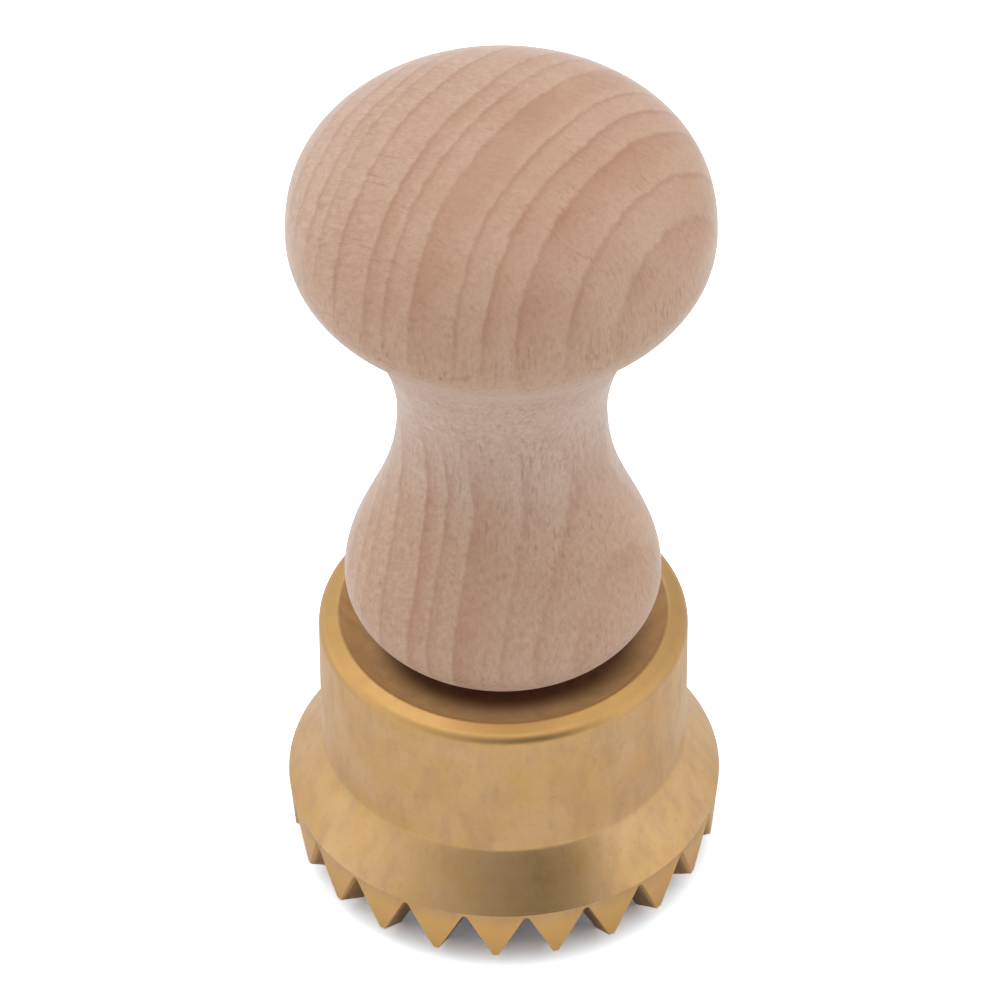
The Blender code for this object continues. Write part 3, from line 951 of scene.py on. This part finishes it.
def die_columns(count):
    """Columns round the die: middle of their groove, side of it, and place in the half groove."""
    columns = []
    for tooth in range(TOOTH_COUNT):
        middle = FIRST_TOOTH + (tooth + 0.5) * math.tau / TOOTH_COUNT
        columns += [(middle, -1, index) for index in range(count - 1, 0, -1)]
        columns += [(middle, 1, index) for index in range(count - 1)]
    return columns


def add_die(material):
    """Die as one closed grid: columns round the axis, rows round the section."""
    upper, lower = die_upper(), die_lower()
    count = len(column_angles(TIP_RADIUS))
    sections = [die_section(upper, lower, index) for index in range(count)]
    columns = die_columns(count)
    vertices = []
    for middle, side, index in columns:
        for radius, height, angle in sections[index]:
            turn = middle + side * angle
            vertices.append((radius * math.cos(turn), radius * math.sin(turn), height))
    faces = grid_faces(len(columns), len(sections[0]), closed=True)
    return add_mesh("brass_die", vertices, faces, material, SHARP_DIE)


def crown_profile():
    """Flattened crown, from the axis out to the ball's widest place."""
    profile = []
    for step in range(CROWN_STEPS + 1):
        angle = QUARTER * step / CROWN_STEPS
        radius = BALL_RADIUS * math.sin(angle) ** (2 / CROWN_EXPONENT)
        height = BALL_CENTRE + CROWN_HEIGHT * max(math.cos(angle), 0) ** (2 / CROWN_EXPONENT)
        profile.append((radius, height))
    return profile


def handle_profile():
    """Section of the handle from the crown down to the foot and up the pilot hole."""
    join = math.acos(BALL_JOIN_RADIUS / BALL_RADIUS)
    foot = math.acos(FOOT_RADIUS / BULB_RADIUS)
    waist = (NECK_RADIUS, NECK_CENTRE)
    bulb = (BULB_RADIUS, BULB_CENTRE)
    profile = crown_profile()
    profile += arc((0, BALL_CENTRE), (BALL_RADIUS, BALL_UNDERSIDE), 0, -join, steps=32)[1:]
    top = profile[-1]
    inward, down = BALL_RADIUS * math.sin(join), BALL_UNDERSIDE * math.cos(join)
    share = COVE_PULL / math.hypot(inward, down)
    top_pull = (top[0] - inward * share, top[1] - down * share)
    profile += bezier(top, top_pull, (waist[0], waist[1] + COVE_RISE), waist, steps=40)
    neck_pull, bulb_pull = (waist[0], waist[1] - NECK_PULL), (bulb[0], bulb[1] + BULB_PULL)
    profile += bezier(waist, neck_pull, bulb_pull, bulb, steps=40)
    profile += arc((0, BULB_CENTRE), (BULB_RADIUS, BULB_UNDERSIDE), 0, -foot, steps=24)[1:]
    profile += [(FOOT_RADIUS, FOOT + FOOT_BREAK), (FOOT_RADIUS - FOOT_BREAK, FOOT)]
    return profile + [(HOLE_RADIUS, FOOT), (HOLE_RADIUS, PILOT_TOP), (0, PILOT_TOP)]


def add_handle(material):
    return lathe("beech_handle", handle_profile(), False, HANDLE_COLUMNS, material)


def add_washer(material):
    low, high = (corner.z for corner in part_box("washer"))
    edge = (WASHER_EDGE, WASHER_EDGE)
    outer = WASHER_RADIUS - WASHER_EDGE
    inner = HOLE_RADIUS + WASHER_EDGE
    profile = arc((outer, high - WASHER_EDGE), edge, QUARTER, 0, steps=4)
    profile += arc((outer, low + WASHER_EDGE), edge, 0, -QUARTER, steps=4)
    profile += arc((inner, low + WASHER_EDGE), edge, -QUARTER, -math.pi, steps=4)
    profile += arc((inner, high - WASHER_EDGE), edge, math.pi, QUARTER, steps=4)
    return lathe("steel_washer", profile, True, WASHER_COLUMNS, material)


def screw_profile(low, high):
    """Section of the screw from its point down the shank and round the head."""
    head_top = low + HEAD_HEIGHT
    crown = (HEAD_RADIUS, HEAD_HEIGHT - HEAD_EDGE)
    profile = [(0, high), (POINT_RADIUS, high), (SHANK_RADIUS, high - POINT_LENGTH)]
    profile += [(SHANK_RADIUS, head_top + HEAD_FILLET), (SHANK_RADIUS + HEAD_FILLET, head_top)]
    profile += [(HEAD_RADIUS - HEAD_BREAK, head_top), (HEAD_RADIUS, head_top - HEAD_BREAK)]
    return profile + arc((0, head_top - HEAD_EDGE), crown, 0, -QUARTER, steps=24)


def add_slot_cutter(low):
    """Box that cuts the driver slot into the screw's head."""
    solid = bmesh.new()
    bmesh.ops.create_cube(solid, size=1)
    bmesh.ops.scale(solid, vec=Vector((SLOT_LENGTH, SLOT_WIDTH, 2 * SLOT_DEPTH)), verts=solid.verts)
    bmesh.ops.translate(solid, vec=(0, 0, low), verts=solid.verts)
    mesh = bpy.data.meshes.new("slot")
    solid.to_mesh(mesh)
    solid.free()
    return add_object("slot", mesh)


def add_screw(material):
    """Pan head screw with a rounded crown, a broken edge and a driver slot."""
    low, high = (corner.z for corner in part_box("fixing_screw"))
    screw = lathe("steel_screw", screw_profile(low, high), False, SCREW_COLUMNS, material)
    cutter = add_slot_cutter(low)
    cut = screw.modifiers.new("Slot", "BOOLEAN")
    cut.operation = "DIFFERENCE"
    cut.object = cutter
    depsgraph = bpy.context.evaluated_depsgraph_get()
    result = bpy.data.meshes.new_from_object(screw.evaluated_get(depsgraph))
    screw.modifiers.clear()
    screw.data = result
    bpy.data.objects.remove(cutter)
    shade(result, SHARP_SLOT)
    return screw


def add_camera():
    """Camera at the photograph's pitch, with its small roll and offset."""
    data = bpy.data.cameras.new("camera")
    data.lens = LENS_MM
    data.sensor_width = SENSOR_MM
    data.shift_x = -AXIS_OFFSET
    data.clip_start = CLIP_NEAR
    data.clip_end = CLIP_FAR
    data.dof.use_dof = False
    camera = add_object("camera", data)
    bpy.context.scene.camera = camera
    forward = Vector((0, math.cos(PITCH), -math.sin(PITCH)))
    place = Vector((0, 0, TARGET_HEIGHT)) - forward * CAMERA_DISTANCE
    up = Vector((0, math.sin(PITCH), math.cos(PITCH)))
    level = Matrix((Vector((1, 0, 0)), up, -forward)).transposed().to_4x4()
    camera.matrix_world = Matrix.Translation(place) @ level @ Matrix.Rotation(-ROLL, 4, "Z")


def floor_material():
    """White floor that keeps the stamp's soft shadow."""
    t = Tree(bpy.data.materials.new("floor"))
    t.nodes.remove(t.shader)
    path = t.node("ShaderNodeLightPath")
    seen = path.outputs["Is Camera Ray"]
    mirrored = t.times(path.outputs["Is Glossy Ray"], FLOOR_GLOSSY_GLOW)
    shades = [t.math("MULTIPLY_ADD", seen, shown - FLOOR_SHADE, FLOOR_SHADE) for shown in FLOOR_SEEN]
    glows = [t.math("MULTIPLY_ADD", seen, glow, mirrored) for glow in FLOOR_GLOW]
    matt = t.node("ShaderNodeBsdfDiffuse", {"Color": t.combine(*shades)})
    light = t.node("ShaderNodeEmission", {"Color": t.combine(*glows)})
    both = t.node("ShaderNodeAddShader", {0: matt.outputs[0], 1: light.outputs[0]})
    t.put(t.nodes["Material Output"].inputs["Surface"], both.outputs[0])
    return t.owner


def add_floor():
    mesh = bpy.data.meshes.new("floor")
    solid = bmesh.new()
    bmesh.ops.create_grid(solid, x_segments=1, y_segments=1, size=FLOOR_SIZE)
    solid.to_mesh(mesh)
    solid.free()
    mesh.materials.append(floor_material())
    floor = add_object("floor", mesh)


def opening(t, x, y, z):
    """Share of the tent's dark opening, by direction."""
    azimuth = t.math("ARCTAN2", x, t.math("MULTIPLY", y, -1.0))
    off = t.math("SUBTRACT", azimuth, OPENING_AZIMUTH)
    below = t.span(t.math("ARCSINE", z), *OPENING_UP, smooth=True)
    return t.times(t.span(off, *OPENING_LEFT), t.span(off, *OPENING_RIGHT, smooth=True), below)


def add_world():
    """Light tent: bright at the sides, above and behind, dark low in front where the opening is."""
    world = bpy.data.worlds.new("studio")
    bpy.context.scene.world = world
    t = Tree(world)
    way = t.node("ShaderNodeTexCoord").outputs["Generated"]
    parts = t.node("ShaderNodeSeparateXYZ", {"Vector": way})
    x, y, z = (parts.outputs[axis] for axis in "XYZ")
    side = t.math("MULTIPLY_ADD", x, LEFT_RIGHT, TENT_LIGHT)
    tent = t.times(side, t.span(z, *TENT_RISE), t.span(y, *TENT_BACK))
    lit = t.times(tent, t.math("MULTIPLY_ADD", opening(t, x, y, z), OPENING_SHADE - 1.0, 1.0))
    seen = t.node("ShaderNodeLightPath").outputs["Is Camera Ray"]
    background = t.nodes["Background"]
    background.inputs["Color"].default_value = WHITE
    t.put(background.inputs["Strength"], t.math("MAXIMUM", lit, seen))


def add_lamp():
    """Large soft lamp above."""
    data = bpy.data.lights.new("overhead", "AREA")
    data.shape = "RECTANGLE"
    data.size = LAMP_SIZE
    data.size_y = LAMP_SIZE
    data.energy = LAMP_POWER
    lamp = add_object("overhead", data)
    lamp.location = LAMP_PLACE
    lamp.rotation_euler = (Vector(LAMP_AIM) - Vector(LAMP_PLACE)).to_track_quat("-Z", "Y").to_euler()


def add_pieces():
    washer_steel = steel("washer_steel", STEEL_WASHER, WASHER_ROUGHNESS)
    screw_steel = steel("screw_steel", STEEL_SCREW, SCREW_ROUGHNESS)
    pieces = (
        (add_handle(Beech().owner), "handle", "beech"),
        (add_die(Brass().owner), "die", "brass"),
        (add_washer(washer_steel), "washer", "washer_steel"),
        (add_screw(screw_steel), "fixing_screw", "screw_steel"),
    )
    for piece, node, slot in pieces:
        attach(piece, "root")
        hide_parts(node)


add_pieces()
add_camera()
add_floor()
add_world()
add_lamp()
bpy.context.scene.view_settings.view_transform = "Standard"
